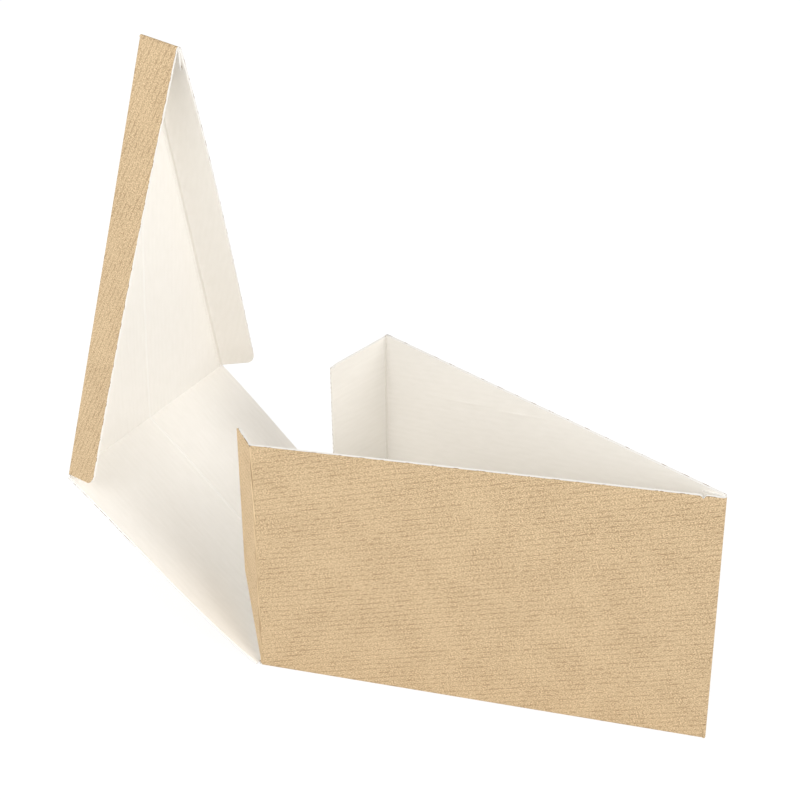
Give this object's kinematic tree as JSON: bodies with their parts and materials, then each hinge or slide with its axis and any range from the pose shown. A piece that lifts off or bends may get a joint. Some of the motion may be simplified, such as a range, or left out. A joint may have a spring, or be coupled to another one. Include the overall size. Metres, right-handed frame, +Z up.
{
  "type": "cake slice box",
  "caption": "Wedge-shaped cake slice box of thin kraft corrugated board, standing open with its lid raised on the back panel and two dust flaps",
  "frame": {"origin": "on the underside of the tray's floor, on its centre line, 43 mm in front of the back crease", "axes": "+X along the tray's centre line to its nose, +Y towards the far wall, +Z up"},
  "size_m": [0.1949, 0.0827, 0.1784],
  "materials": {
    "kraft_board": "matt kraft outside, matt white inside"
  },
  "bodies": {
    "tray": {"tray": "kraft_board"},
    "back_panel": {"back_panel": "kraft_board"},
    "lid": {"lid": "kraft_board"},
    "near_dust_flap": {"near_dust_flap": "kraft_board"},
    "far_dust_flap": {"far_dust_flap": "kraft_board"}
  },
  "joints": [
    {"name": "back_panel_hinge", "type": "hinge", "parent": "tray", "child": "back_panel", "pos_m": [-0.043, 0, 0.0005], "axis": [0, 1, 0], "range_deg": [-36.3, 56.2]},
    {"name": "lid_hinge", "type": "hinge", "parent": "back_panel", "child": "lid", "pos_m": [-0.10844, 0, 0.04857], "axis": [0, 1, 0], "range_deg": [-61.6, 25.1]},
    {"name": "near_flap_hinge", "type": "hinge", "parent": "tray", "child": "near_dust_flap", "pos_m": [-0.0418, -0.03626, 0], "axis": [0.0437, 0.0123, 0.999], "range_deg": [-49.3, 31.9]},
    {"name": "far_flap_hinge", "type": "hinge", "parent": "tray", "child": "far_dust_flap", "pos_m": [-0.0418, 0.03626, 0], "axis": [0.0437, -0.0123, 0.999], "range_deg": [-20.2, 31.2]}
  ],
  "couplings": [
    {"joint": "near_flap_hinge", "follows": "back_panel_hinge", "ratio": -0.8719},
    {"joint": "far_flap_hinge", "follows": "back_panel_hinge", "ratio": 0.5516}
  ]
}
